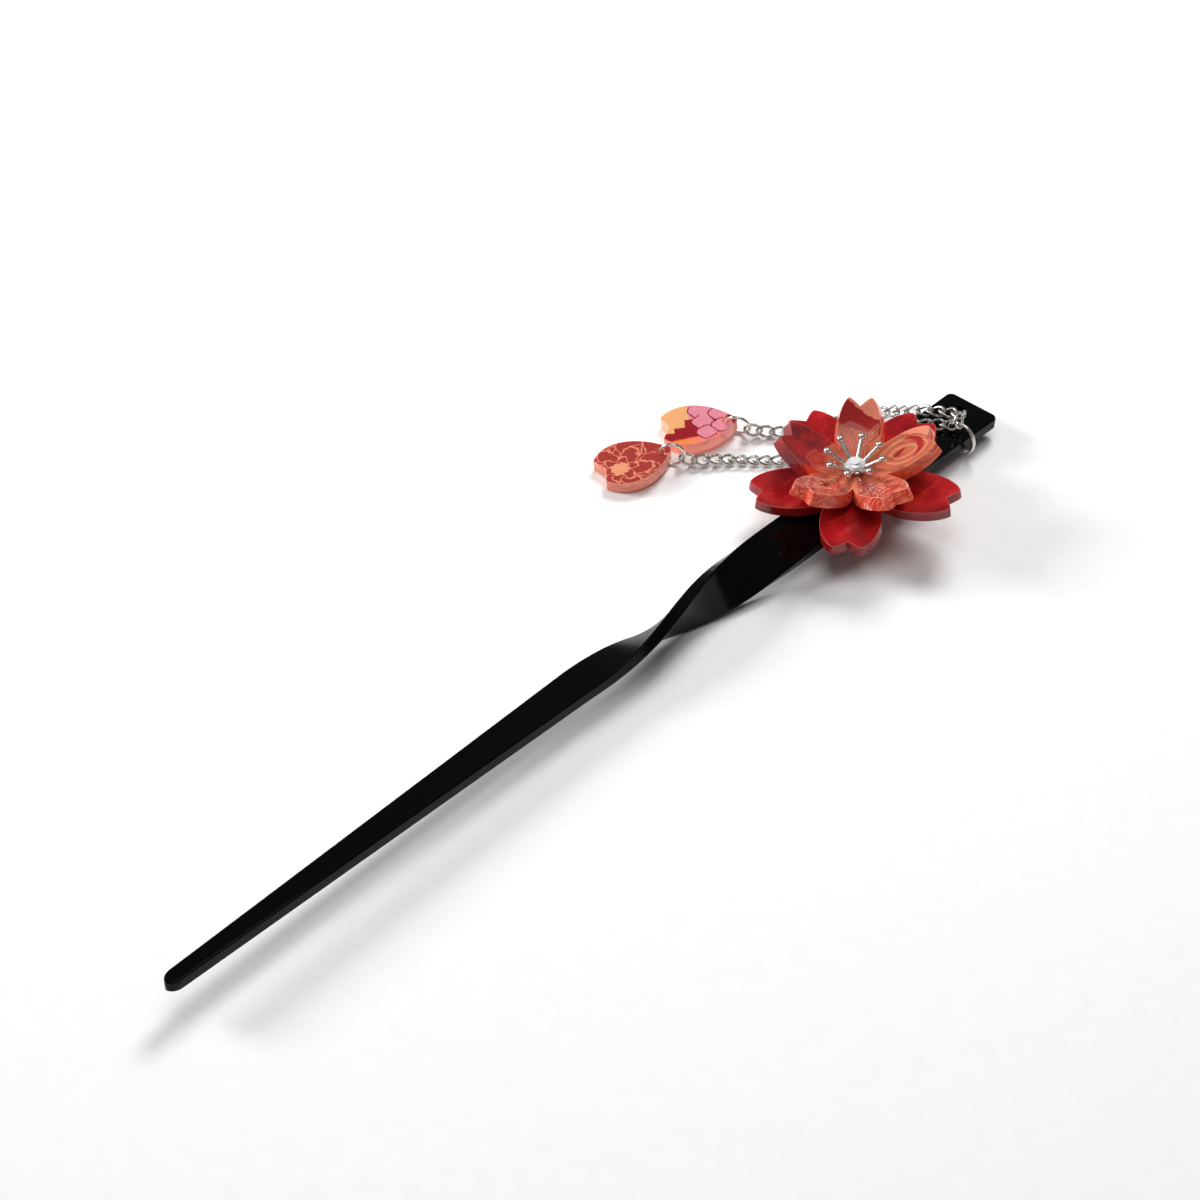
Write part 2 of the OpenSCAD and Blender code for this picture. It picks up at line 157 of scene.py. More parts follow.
def drill(piece, drills):
    """Cuts the drills out of a piece, deletes them, and leaves the cut mesh on the piece."""
    for cutter in drills:
        hole = piece.modifiers.new("hole", "BOOLEAN")
        hole.operation = "DIFFERENCE"
        hole.solver = "EXACT"
        hole.object = cutter
    seen = piece.evaluated_get(bpy.context.evaluated_depsgraph_get())
    cut = bpy.data.meshes.new_from_object(seen)
    piece.modifiers.clear()
    piece.data = cut
    for cutter in drills:
        bpy.data.objects.remove(cutter)


def make_drill(radius, height, place):
    bm = bmesh.new()
    bmesh.ops.create_cone(bm, cap_ends=True, segments=40, radius1=radius, radius2=radius, depth=height)
    return make_piece(bm, "drill", place, [])


def new_material(name, values):
    """A Principled material whose listed sockets are set to fixed values."""
    material = bpy.data.materials.new(name)
    material.use_nodes = True
    shader = material.node_tree.nodes["Principled BSDF"]
    for socket, value in values.items():
        shader.inputs[socket].default_value = value
    return material


def add_node(material, kind, inputs, output=0, **settings):
    """Adds a node. Inputs are {socket: value or another node's output}."""
    made = material.node_tree.nodes.new("ShaderNode" + kind)
    for setting, value in settings.items():
        setattr(made, setting, value)
    for socket, value in inputs.items():
        if isinstance(value, bpy.types.NodeSocket):
            material.node_tree.links.new(value, made.inputs[socket])
        else:
            made.inputs[socket].default_value = value
    return made.outputs[output]


def to_shader(material, socket, value):
    shader = material.node_tree.nodes["Principled BSDF"]
    material.node_tree.links.new(value, shader.inputs[socket])


def place_of(material, stretch=(1, 1, 1)):
    where = add_node(material, "TexCoord", {}, "Object")
    return add_node(material, "Mapping", {"Vector": where, "Scale": stretch})


def noise(material, vector, scale, detail=3.0, output="Fac"):
    return add_node(material, "TexNoise", {"Vector": vector, "Scale": scale, "Detail": detail}, output)


def remap(material, value, low, high, to_low, to_high):
    return add_node(material, "MapRange", {0: value, 1: low, 2: high, 3: to_low, 4: to_high})


def bump(material, height, distance, strength=1.0):
    made = add_node(material, "Bump", {"Height": height, "Distance": distance, "Strength": strength})
    to_shader(material, "Normal", made)


def black_acrylic():
    """Polished black acrylic with fine rubs along its length and a very slight ripple. The part
    that was heated for the twist, round the middle of the length, is less glossy."""
    m = new_material("black_acrylic", {"Specular IOR Level": 0.12, "IOR": 1.49})
    rubs = noise(m, place_of(m, (0.06, 1, 1)), 9000.0, 4.0)
    spread = remap(m, rubs, 0.45, 0.75, 0.055, 0.11)
    along = add_node(m, "SeparateXYZ", {0: add_node(m, "TexCoord", {}, "Object")})
    dulled = add_node(m, "Math", {0: remap(m, along, 0.032, 0.018, 0.0, 0.16),
                                  1: remap(m, along, -0.06, -0.02, 0.0, 0.16)}, operation="MINIMUM")
    to_shader(m, "Roughness", add_node(m, "Math", {0: spread, 1: dulled}, operation="ADD"))
    dust = noise(m, place_of(m), 2600.0, 2.0)
    shade = remap(m, dust, 0.3, 0.8, 0.0, 1.0)
    tone = add_node(m, "Mix", {0: shade, 6: (0.0012, 0.0012, 0.0015, 1), 7: (0.0026, 0.0026, 0.003, 1)},
                    2, data_type="RGBA")
    to_shader(m, "Base Color", tone)
    ripple = noise(m, place_of(m, (0.4, 1, 1)), 160.0, 1.0)
    bump(m, ripple, 0.00006, 0.35)
    return m


bm = bmesh.new()
spot, loop, first = start_ring(bm, SECTION_SIDES, 1)
half_step = math.pi / SECTION_SIDES
around = [(math.cos(2 * half_step * i + half_step), math.sin(2 * half_step * i + half_step))
          for i in range(SECTION_SIDES)]
ends_s = [HEAD_CORNER * (1 - math.cos(math.pi / 2 * i / 10)) for i in range(11)]
plain_s = [HEAD_CORNER + (TWIST_FROM - HEAD_CORNER) * i / 10 for i in range(1, 10)]
twist_s = [TWIST_FROM + (TWIST_TO - TWIST_FROM) * i / 110 for i in range(111)]
blade_s = [TWIST_TO + (STICK_LENGTH - TIP_ROUND - TWIST_TO) * i / 24 for i in range(1, 25)]
tip_s = [STICK_LENGTH - TIP_ROUND * (1 - math.sin(math.pi / 2 * i / 14)) for i in range(1, 15)]
lay_ring(first, around, 0)
bmesh.ops.contextual_create(bm, geom=loop)
for s in ends_s[1:] + plain_s + twist_s + blade_s + tip_s:
    loop, ring = grow_ring(bm, loop, spot)
    lay_ring(ring, around, s)
bmesh.ops.contextual_create(bm, geom=loop)
stick = make_piece(bm, "stick_body", on_stick, [black_acrylic()])
at_hanging_hole = on_stick @ Matrix.Translation((*HANGING_HOLE, 0))
at_ring_hole = on_stick @ Matrix.Translation((*RING_HOLE, 0))
drill(stick, [make_drill(HANGING_HOLE_RADIUS, DRILL_HEIGHT, at_hanging_hole),
              make_drill(RING_HOLE_RADIUS, DRILL_HEIGHT, at_ring_hole)])
rims = stick.modifiers.new("hole_rims", "BEVEL")
rims.limit_method = "ANGLE"
rims.angle_limit = math.radians(55)
rims.width = HOLE_RIM * MM
rims.segments = 2
even_normals(stick)
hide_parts("stick")
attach(stick, "root")


# Glued foot
# The dab of clear glue under the blossom has set to a low, slightly milky pillar. It stays the
# CAD solid, because the petals hide all but its edge.

glue = new_material("clear_glue", {"Roughness": 0.3, "Subsurface Weight": 0.4, "Subsurface Scale": 0.001})
haze = noise(glue, place_of(glue), 900.0)
to_shader(glue, "Base Color", add_node(glue, "Mix", {0: haze, 6: (0.62, 0.58, 0.54, 1),
                                                     7: (0.8, 0.78, 0.74, 1)}, 2, data_type="RGBA"))
bump(glue, haze, 0.0001, 0.4)
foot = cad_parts["glued_foot"]
foot.data.materials.clear()
foot.data.materials.append(glue)


# Lower flower
# The lower layer is one blossom cut from clear red acrylic with a marbled film in it. The sheet
# is cut flat, its rims are polished round, and the petals are then bent a little upwards.

LOWER_THICKNESS = 1.7
SHEET_SPAN = 40.0
FLOWER_GAP = 0.1
FLOWER_PITCH = -7.2
FLOWER_TURN = -1.3
FLOWER_ROLL = -1.5
LOWER_SLOPES = [5, 5, 10, 6, 6]
on_flower = (on_stick @ Matrix.Translation((-32.2, -0.8, 2.5))
             @ Matrix.Rotation(math.radians(FLOWER_PITCH), 4, "Y")
             @ Matrix.Rotation(math.radians(FLOWER_TURN), 4, "Z")
             @ Matrix.Rotation(math.radians(FLOWER_ROLL), 4, "X"))


def bezier(points, t):
    a, b, c, d = (Vector(p) for p in points)
    return (1 - t) ** 3 * a + 3 * t * (1 - t) ** 2 * b + 3 * t * t * (1 - t) * c + t ** 3 * d


def blossom_outline(reach, notch_depth, point_y, bulge, cleft, steps=16):
    """Outline of five notched petals in the flat sheet, counter-clockwise, in millimetres."""
    tip = Vector((math.sqrt(reach ** 2 - point_y ** 2), point_y))
    notch = Vector((reach - notch_depth, 0))
    knee = Vector((notch.x + notch_depth * 0.42, point_y * 0.36))
    lip = Vector((tip.x - 0.15, tip.y - 0.6))
    side = [tip, (reach * 0.9, bulge * 1.02), (reach * 0.56, bulge * 1.3),
            (cleft * math.cos(math.radians(36)), cleft * math.sin(math.radians(36)))]
    half = [notch, notch.lerp(knee, 0.5), knee, knee.lerp(lip, 0.34), knee.lerp(lip, 0.67), lip,
            lip.lerp(tip, 0.6) + Vector((0.04, 0))]
    half += [bezier(side, i / steps) for i in range(steps + 1)]
    outline = []
    for k in range(5):
        turn = Matrix.Rotation(math.radians(72 * k), 2)
        outline += [turn @ Vector((p.x, -p.y)) for p in half[-2:0:-1]]
        outline += [turn @ p for p in half]
    return outline


def cut_sheet(bm, outline, thickness, rows, hole=None):
    """Cuts a flat sheet to an outline, from z = 0 to its thickness, round a hole or solid inside."""
    spot, inner, ring = start_ring(bm, len(outline), 1)
    for vert, p in zip(ring, outline):
        vert.co = (*(p * rows[0] if hole is None else p.normalized() * hole), thickness)
    loop = inner
    for row in rows[1:]:
        loop, ring = grow_ring(bm, loop, spot)
        for vert, p in zip(ring, outline):
            start = Vector((0, 0)) if hole is None else p.normalized() * hole
            vert.co = (*start.lerp(p, row), thickness)
    if hole is None:
        grown, ring = grow_ring(bm, inner, spot)
        bmesh.ops.pointmerge(bm, verts=ring, merge_co=(0, 0, thickness))
    bottom = bmesh.ops.extrude_face_region(bm, geom=bm.faces[:])["geom"]
    bottom = [g for g in bottom if isinstance(g, bmesh.types.BMVert)]
    bmesh.ops.translate(bm, verts=bottom, vec=(0, 0, -thickness))
    bmesh.ops.recalc_face_normals(bm, faces=bm.faces)


def round_rims(bm, thickness, top_radius, bottom_radius):
    """Rounds the rims of a flat sheet, where its wall meets its top and its underside."""
    for height, radius in ((thickness, top_radius), (0, bottom_radius)):
        rim = [e for e in bm.edges if len(e.link_faces) == 2 and e.calc_face_angle() > math.radians(60)
               and all(abs(v.co.z - height) < 1e-4 for v in e.verts)]
        bmesh.ops.bevel(bm, geom=rim, offset=radius, offset_type="OFFSET", segments=3, profile=0.5,
                        affect="EDGES", clamp_overlap=True, material=-1)


def note_flat_places(bm, thickness, turn=0.0, depth_shown=0.0):
    """Keeps each face corner's place in the flat sheet as a UV map. Slots: 0 top, 1 wall, 2 top rim.
    The film lies under the clear sheet, so a wall shows places further in the higher up it is."""
    print_map = bm.loops.layers.uv.new("print")
    spin = Matrix.Rotation(math.radians(turn), 2)
    for face in bm.faces:
        high = face.calc_center_median().z > thickness / 2
        face.material_index = 1
        if high and face.normal.z > 0.2:
            face.material_index = 0 if face.normal.z > 0.97 else 2
        for corner in face.loops:
            flat = spin @ corner.vert.co.xy
            if face.material_index == 1:
                flat = flat * (1 - depth_shown * corner.vert.co.z / thickness)
            corner[print_map].uv = (flat.x / SHEET_SPAN + 0.5, flat.y / SHEET_SPAN + 0.5)


def slope_at(slopes, angle):
    u = (math.degrees(angle) + 360) % 360 / 72
    k = int(u)
    blend = ease(u - k)
    return slopes[k % 5] * (1 - blend) + slopes[(k + 1) % 5] * blend


def bend_petals(bm, hub, radius, slopes):
    """Bends the petals upwards outside the hub, round the bend radius, to each petal's slope."""
    for vert in bm.verts:
        x, y, up = vert.co
        along = math.hypot(x, y)
        if along < 1e-6:
            continue
        slope = math.radians(slope_at(slopes, math.atan2(y, x)))
        a = min(slope, max(0, along - hub) / radius)
        straight = max(0, along - hub - radius * slope)
        out = min(along, hub) + radius * math.sin(a) + straight * math.cos(a) - up * math.sin(a)
        vert.co = (x / along * out, y / along * out,
                   radius * (1 - math.cos(a)) + straight * math.sin(a) + up * math.cos(a))


# Shares of the way from the middle to the outline at which a sheet has a row of vertices
FLOWER_ROWS = [0.08, 0.16, 0.24, 0.32, 0.4, 0.48, 0.56, 0.64, 0.72, 0.8, 0.88, 0.94, 1]
SHARP_OVER = 38


def make_flower(name, outline, thickness, rims, hub, radius, slopes, place, turn, depth, materials):
    bm = bmesh.new()
    cut_sheet(bm, outline, thickness, FLOWER_ROWS)
    round_rims(bm, thickness, *rims)
    note_flat_places(bm, thickness, turn, depth)
    bend_petals(bm, hub, radius, slopes)
    flower = make_piece(bm, name, place @ Matrix.Rotation(math.radians(turn), 4, "Z"), materials, SHARP_OVER)
    even_normals(flower)
    return flower


def mix(material, amount, under, over):
    """Paints one colour over another by an amount from 0 to 1."""
    return add_node(material, "Mix", {0: amount, 6: under, 7: over}, 2, data_type="RGBA")


def calc(material, operation, a, b=0.0, c=0.0):
    return add_node(material, "Math", {0: a, 1: b, 2: c}, operation=operation)


def flat_place(material, stray=0.0):
    """The place in the flat sheet in millimetres from its middle, strayed a little by noise."""
    where = add_node(material, "UVMap", {}, uv_map="print")
    centred = add_node(material, "VectorMath", {0: where, 1: (0.5, 0.5, 0)}, operation="SUBTRACT")
    flat = add_node(material, "VectorMath", {0: centred, 3: SHEET_SPAN}, operation="SCALE")
    if stray == 0:
        return flat
    drift = noise(material, flat, 0.9, 2.0, "Color")
    drift = add_node(material, "VectorMath", {0: drift, 1: (0.5, 0.5, 0.5)}, operation="SUBTRACT")
    drift = add_node(material, "VectorMath", {0: drift, 3: stray}, operation="SCALE")
    return add_node(material, "VectorMath", {0: flat, 1: drift}, operation="ADD")


def red_film(name, lift_with_painted_light, streak, painted_paleness):
    """Clear red acrylic over a marbled film: deep red with soft brighter streaks. The film's brightness
    is scaled, and the top, wall and rim copies differ in it as painted light. The polished rims are
    painted paler, a painted highlight."""
    m = new_material(name, {"Roughness": 0.1, "IOR": 1.49, "Coat Weight": 0.25, "Coat Roughness": 0.04,
                            "Subsurface Weight": 0.2, "Subsurface Scale": 0.0012,
                            "Subsurface Radius": (1.0, 0.16, 0.1)})
    flat = flat_place(m, 1.6)
    lengthwise = add_node(m, "Mapping", {"Vector": flat, "Rotation": (0, 0, 0.9), "Scale": (0.14, 0.6, 1)})
    streaks = noise(m, lengthwise, 1.0, 4.0)
    clouds = noise(m, flat, 0.16, 2.0)
    deep = mix(m, remap(m, clouds, 0.38, 0.62, 0.0, 1.0), (0.2 * lift_with_painted_light, 0.0045, 0.0085, 1),
               (0.36 * lift_with_painted_light, 0.011, 0.014, 1))
    film = mix(m, remap(m, streaks, 0.5, 0.75, 0.0, streak), deep, (0.62 * lift_with_painted_light, 0.036, 0.021, 1))
    to_shader(m, "Base Color", mix(m, painted_paleness, film, (0.9, 0.26, 0.22, 1)))
    bump(m, noise(m, place_of(m), 420.0, 1.0), 0.00008, 0.25)
    return m


lower_outline = blossom_outline(reach=17.2, notch_depth=1.6, point_y=2.35, bulge=4.6, cleft=6.8)
# The wall and rim copies of the red film differ in brightness from the top as painted light, and the rim copy
# is painted paler as a painted highlight.
lower_flower = make_flower("lower_blossom", lower_outline, LOWER_THICKNESS, rims=(0.34, 0.2), hub=4,
                           radius=50, slopes=LOWER_SLOPES, place=on_flower, turn=0, depth=0.2,
                           materials=[red_film("red_film_top", lift_with_painted_light=1.25, streak=0.6, painted_paleness=0.0),
                                      red_film("red_film_wall", lift_with_painted_light=1.1, streak=0.3, painted_paleness=0.0),
                                      red_film("red_film_rim", lift_with_painted_light=1.3, streak=0.5, painted_paleness=0.3)])
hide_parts("lower_flower")
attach(lower_flower, "root")


# Upper flower
# The upper layer is a thicker, smaller blossom of clear acrylic over a printed paper film, with
# the petals bent well up. The print is blossoms and leaves in coral, crimson, mauve and ochre.

UPPER_THICKNESS = 2.2
UPPER_TURN = 36
UPPER_SLOPES = [41, 38, 36, 31, 28]
CORAL = (0.64, 0.1, 0.05, 1)
SALMON = (0.58, 0.16, 0.085, 1)
CRIMSON = (0.44, 0.008, 0.018, 1)
BURGUNDY = (0.19, 0.006, 0.02, 1)
OCHRE = (0.56, 0.21, 0.085, 1)
MAUVE = (0.4, 0.065, 0.09, 1)
LINE_PALE = (0.78, 0.34, 0.22, 1)
LINE_DARK = (0.38, 0.07, 0.04, 1)


def disc(material, flat, centre, radius, soft=0.12):
    far = add_node(material, "VectorMath", {0: flat, 1: (*centre, 0)}, "Value", operation="DISTANCE")
    return remap(material, far, radius - soft, radius + soft, 1.0, 0.0)


def side_of(material, flat, heading, offset, soft=0.1):
    """1 on the side of a straight line that faces the heading in degrees, and 0 on the other."""
    facing = (math.cos(math.radians(heading)), math.sin(math.radians(heading)), 0)
    far = add_node(material, "VectorMath", {0: flat, 1: facing}, "Value", operation="DOT_PRODUCT")
    return remap(material, far, offset - soft, offset + soft, 0.0, 1.0)


def bloom_edge(material, flat, centre, radius, lobes, turn=0.0, depth=0.28):
    """Distance in millimetres outside the edge of a drawn blossom, and below 0 within it."""
    arm = add_node(material, "VectorMath", {0: flat, 1: (*centre, 0)}, operation="SUBTRACT")
    parts = material.node_tree.nodes.new("ShaderNodeSeparateXYZ")
    material.node_tree.links.new(arm, parts.inputs[0])
    angle = calc(material, "ARCTAN2", parts.outputs[1], parts.outputs[0])
    wave = calc(material, "COSINE", calc(material, "MULTIPLY_ADD", angle, lobes / 2, turn))
    edge = calc(material, "MULTIPLY_ADD", calc(material, "ABSOLUTE", wave), radius * depth,
                radius * (1 - depth))
    far = add_node(material, "VectorMath", {0: arm}, "Value", operation="LENGTH")
    return calc(material, "SUBTRACT", far, edge)


def leaf_edge(material, flat, centre, heading, half_length, half_width):
    """Distance in millimetres outside the edge of a pointed leaf, and below 0 within it."""
    radius = (half_length ** 2 + half_width ** 2) / (2 * half_width)
    aside = Matrix.Rotation(math.radians(heading + 90), 2) @ Vector((radius - half_width, 0))
    apart = []
    for side in (1, -1):
        spot = (centre[0] + side * aside.x, centre[1] + side * aside.y, 0)
        apart.append(add_node(material, "VectorMath", {0: flat, 1: spot}, "Value", operation="DISTANCE"))
    return calc(material, "SUBTRACT", calc(material, "MAXIMUM", *apart), radius)


def inside(material, edge, soft=0.07):
    return remap(material, edge, -soft, soft, 1.0, 0.0)


def line_along(material, edge, width):
    return remap(material, calc(material, "ABSOLUTE", edge), width * 0.5, width * 0.5 + 0.08, 1.0, 0.0)


def all_of(material, *masks):
    both = masks[0]
    for mask in masks[1:]:
        both = calc(material, "MULTIPLY", both, mask)
    return both


def printed_film(name, gain_with_painted_light, painted_warmth, painted_paleness):
    """A paper print of leaves and blossoms under clear acrylic, in coral, crimson, mauve and ochre."""
    m = new_material(name, {"Roughness": 0.08, "IOR": 1.49, "Specular IOR Level": 0.3, "Coat Weight": 0.08,
                            "Coat Roughness": 0.03, "Subsurface Weight": 0.15, "Subsurface Scale": 0.001,
                            "Subsurface Radius": (1.0, 0.3, 0.16)})
    flat = flat_place(m, 1.1)
    speck = noise(m, flat, 2.6, 4.0)
    colour = mix(m, remap(m, speck, 0.4, 0.62, 0.0, 1.0), CORAL, SALMON)
    far_right = side_of(m, flat, -36, 3.0, 1.5)
    colour = mix(m, all_of(m, far_right, remap(m, noise(m, flat, 1.2), 0.45, 0.6, 0.0, 0.6)), colour, OCHRE)
    colour = mix(m, calc(m, "MULTIPLY", disc(m, flat, (0.5, 1.5), 5.0, 1.5), 0.5), colour, LINE_DARK)
    # Long grains in the print, which show on the two petals at the front
    front = side_of(m, flat, 216, 3.2, 1.0)
    lengthwise = add_node(m, "Mapping", {"Vector": flat, "Rotation": (0, 0, 0.94), "Scale": (0.5, 2.2, 1)})
    grain = noise(m, lengthwise, 1.0, 3.0)
    deeper = all_of(m, side_of(m, flat, 180, 5.0, 1.5), remap(m, noise(m, flat, 0.8), 0.35, 0.6, 0.2, 0.8))
    colour = mix(m, deeper, colour, (0.34, 0.03, 0.035, 1))
    # Bank of crimson across the petal at the back with a paler lobe, and the dark petal to its left
    colour = mix(m, side_of(m, flat, 5, 10.4, 0.4), colour, (0.95, 0.3, 0.2, 1))
    bank = all_of(m, side_of(m, flat, 19, 8.3), side_of(m, flat, 185, -10.9), side_of(m, flat, 90, 0.4))
    colour = mix(m, bank, colour, CRIMSON)
    dark = all_of(m, side_of(m, flat, 108, 6.3), side_of(m, flat, 162, -0.6), side_of(m, flat, 54, -1.2))
    shades = mix(m, remap(m, noise(m, flat, 0.35), 0.4, 0.6, 0.0, 1.0), BURGUNDY, CRIMSON)
    # Leaves with a drawn outline and a line inside it: [middle, heading, half length, half width]
    for centre, heading, length, width, fill, line in [((4.6, 5.6), 60, 2.6, 1.2, CORAL, LINE_DARK),
                                                       ((8.3, 2.6), 10, 2.2, 0.9, SALMON, CRIMSON),
                                                       ((3.6, 1.6), 30, 2.4, 0.8, SALMON, LINE_DARK),
                                                       ((-9.6, 2.6), 165, 3.4, 1.3, MAUVE, LINE_PALE),
                                                       ((-12.2, -1.0), 100, 2.8, 1.1, CRIMSON, LINE_PALE),
                                                       ((-8.0, -0.6), 190, 3.2, 1.1, CORAL, CRIMSON),
                                                       ((-10.4, 0.6), 150, 3.0, 0.6, CRIMSON, LINE_PALE),
                                                       ((-5.2, 1.2), 170, 2.2, 0.9, OCHRE, CRIMSON),
                                                       ((-3.4, -7.6), 250, 3.4, 1.2, MAUVE, LINE_PALE),
                                                       ((-6.6, -9.6), 230, 2.8, 1.1, CRIMSON, LINE_PALE),
                                                       ((-1.8, -11.2), 265, 2.8, 1.0, CRIMSON, SALMON),
                                                       ((-4.6, -12.0), 200, 2.4, 0.7, CORAL, CRIMSON),
                                                       ((0.6, -7.6), 280, 2.6, 0.8, SALMON, CRIMSON),
                                                       ((3.4, -8.2), 300, 2.2, 0.7, OCHRE, LINE_DARK)]:
        edge = leaf_edge(m, flat, centre, heading, length, width)
        colour = mix(m, inside(m, edge), colour, fill)
        colour = mix(m, line_along(m, calc(m, "ADD", edge, width * 0.55), 0.06), colour, line)
        colour = mix(m, line_along(m, edge, 0.16), colour, line)
    colour = mix(m, all_of(m, front, remap(m, grain, 0.52, 0.6, 0.0, 0.85)), colour, (0.3, 0.02, 0.03, 1))
    colour = mix(m, all_of(m, front, remap(m, grain, 0.42, 0.36, 0.0, 0.6)), colour, LINE_PALE)
    colour = mix(m, dark, colour, shades)
    swirl = bloom_edge(m, flat, (-3.4, 6.4), 2.3, 5, 0.4)
    colour = mix(m, inside(m, swirl), colour, (0.46, 0.05, 0.03, 1))
    colour = mix(m, line_along(m, calc(m, "ADD", swirl, 0.9), 0.35), colour, CRIMSON)
    # The right petal's big leaf: nested outlines, a crimson sliver within and a crimson arc beyond
    drawn = flat_place(m, 0.35)
    for length, width, line in ((2.6, 1.3, LINE_PALE), (3.5, 2.0, LINE_DARK), (4.4, 2.7, LINE_PALE),
                                (5.3, 3.4, LINE_DARK)):
        nest = leaf_edge(m, drawn, (7.4, -5.3), -52, length, width)
        colour = mix(m, line_along(m, nest, 0.12), colour, line)
    sliver = leaf_edge(m, drawn, (7.0, -4.6), -20, 1.5, 0.42)
    colour = mix(m, inside(m, sliver), colour, CRIMSON)
    beyond = calc(m, "SUBTRACT", 1.0, disc(m, drawn, (7.2, -5.2), 2.8))
    arc = all_of(m, disc(m, drawn, (8.2, -5.9), 2.7), beyond)
    colour = mix(m, arc, colour, CRIMSON)
    paper = noise(m, flat, 9.0, 3.0)
    colour = mix(m, remap(m, paper, 0.35, 0.7, 0.0, 0.15), colour, LINE_PALE)
    # Painted light, mostly away from the dark petal: the walls are made brighter and warmer than the top, a
    # painted glow of light through the clear sheet, and the rims brighter and paler, a painted highlight.
    painted_warm_part = calc(m, "MULTIPLY_ADD", dark, -painted_warmth, painted_warmth)
    colour = mix(m, painted_warm_part, colour, (0.72, 0.075, 0.03, 1))
    painted_pale_part = calc(m, "MULTIPLY_ADD", dark, -0.6 * painted_paleness, painted_paleness)
    colour = mix(m, painted_pale_part, colour, (0.9, 0.42, 0.3, 1))
    lift_with_painted_light = calc(m, "MULTIPLY_ADD", dark, 1 - gain_with_painted_light, gain_with_painted_light)
    colour = add_node(m, "VectorMath", {0: colour, 3: lift_with_painted_light}, operation="SCALE")
    to_shader(m, "Base Color", colour)
    bump(m, noise(m, place_of(m), 500.0, 1.0), 0.00008, 0.25)
    return m


upper_outline = blossom_outline(reach=14.7, notch_depth=1.5, point_y=2.35, bulge=3.95, cleft=5.6)
upper_place = on_flower @ Matrix.Translation((0, 0, LOWER_THICKNESS + FLOWER_GAP))
# The print's wall and rim copies carry painted light: brighter, warmer walls and brighter, paler rims.
upper_flower = make_flower("upper_blossom", upper_outline, UPPER_THICKNESS, rims=(0.3, 0.22), hub=2.1,
                           radius=13.8, slopes=UPPER_SLOPES, place=upper_place, turn=UPPER_TURN, depth=0.3,
                           materials=[printed_film("printed_film_top", gain_with_painted_light=0.95, painted_warmth=0.0, painted_paleness=0.0),
                                      printed_film("printed_film_wall", gain_with_painted_light=1.4, painted_warmth=0.45, painted_paleness=0.0),
                                      printed_film("printed_film_rim", gain_with_painted_light=1.2, painted_warmth=0.1, painted_paleness=0.5)])
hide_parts("upper_flower")
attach(upper_flower, "root")


# Stamens
# The spray is one small white-metal casting, plated bright: a cupped disc with eight tapering
# filaments, each ending in a ball. It is glued to the middle of the upper flower.

DISC_SEAT = 0.05
DISC_HEIGHT = LOWER_THICKNESS + FLOWER_GAP + UPPER_THICKNESS + DISC_SEAT
on_disc = on_flower @ Matrix.Translation((0, 0, DISC_HEIGHT))
STAMEN_COUNT = 8
STAMEN_TURN = 26
STAMEN_ROOT = (1.3, 0, 0.2)
STAMEN_END = (4.5, 0, 2.7)
ROOT_RADIUS = 0.45
# Rows of (radius, share of the way from the root to the ball)
STAMEN_RADII = [(0.42, 0.25), (0.38, 0.5), (0.34, 0.75), (0.32, 1.0)]
BALL_RADIUS = 0.65


def bright_plate(name, tone, rough):
    """Bright plated metal with small pits and a faintly uneven shine."""
    m = new_material(name, {"Metallic": 1.0})
    cast = noise(m, place_of(m), 1800.0, 3.0)
    to_shader(m, "Roughness", remap(m, cast, 0.35, 0.7, rough * 0.7, rough * 1.5))
    bright = (tone, tone * 0.97, tone * 0.93, 1)
    dull = (tone * 0.72, tone * 0.69, tone * 0.66, 1)
    to_shader(m, "Base Color", mix(m, remap(m, cast, 0.5, 0.8, 0.0, 0.5), bright, dull))
    bump(m, noise(m, place_of(m), 5200.0, 2.0), 0.00001, 0.5)
    return m


cast_plate = bright_plate("cast_plate", tone=0.86, rough=0.3)
bm = bmesh.new()
profile = [(0.0, 0.36), (1.05, 0.36), (1.2, 0.5), (1.4, 0.5), (1.75, 0.42), (1.88, 0.28), (1.88, 0.08),
           (1.8, 0.0), (0.0, 0.0)]
rim = [bm.verts.new((x, 0, z)) for x, z in profile]
for a, b in zip(rim, rim[1:]):
    bm.edges.new((a, b))
bmesh.ops.spin(bm, geom=bm.verts[:] + bm.edges[:], axis=(0, 0, 1), cent=(0, 0, 0), steps=48,
               angle=2 * math.pi, use_merge=True)
bmesh.ops.remove_doubles(bm, verts=bm.verts, dist=0.001)
for k in range(STAMEN_COUNT):
    turn = Matrix.Rotation(math.radians(STAMEN_TURN + 360 * k / STAMEN_COUNT), 4, "Z")
    start = Vector(STAMEN_ROOT)
    end = Vector(STAMEN_END)
    along = (end - start).normalized()
    tilt = Vector((0, 0, 1)).rotation_difference(along).to_matrix().to_4x4()
    spot, loop, ring = start_ring(bm, 12, ROOT_RADIUS, turn @ Matrix.Translation(start) @ tilt)
    for radius, share in STAMEN_RADII:
        loop, ring = grow_ring(bm, loop, spot)
        middle = turn @ start.lerp(end, share)
        centre = sum((v.co for v in ring), Vector()) / len(ring)
        for vert in ring:
            vert.co = middle + (vert.co - centre).normalized() * radius
    bmesh.ops.create_icosphere(bm, subdivisions=3, radius=BALL_RADIUS,
                               matrix=turn @ Matrix.Translation(end))
stamens = make_piece(bm, "stamen_spray", on_disc, [cast_plate], sharp_over=50)
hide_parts("stamens")
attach(stamens, "root")


# Centre stone
# The clear stone is a foil-backed glass brilliant, 3.2 mm across, with an eight-sided table and
# a cut crown. It is glued into the cup of the spray.

STONE_RADIUS = 1.6
STONE_SEAT = 0.55
GIRDLE_HEIGHT = 0.3
TABLE_HEIGHT = 0.95
TABLE_SHARE = 0.55
GIRDLE_SIDES = 16
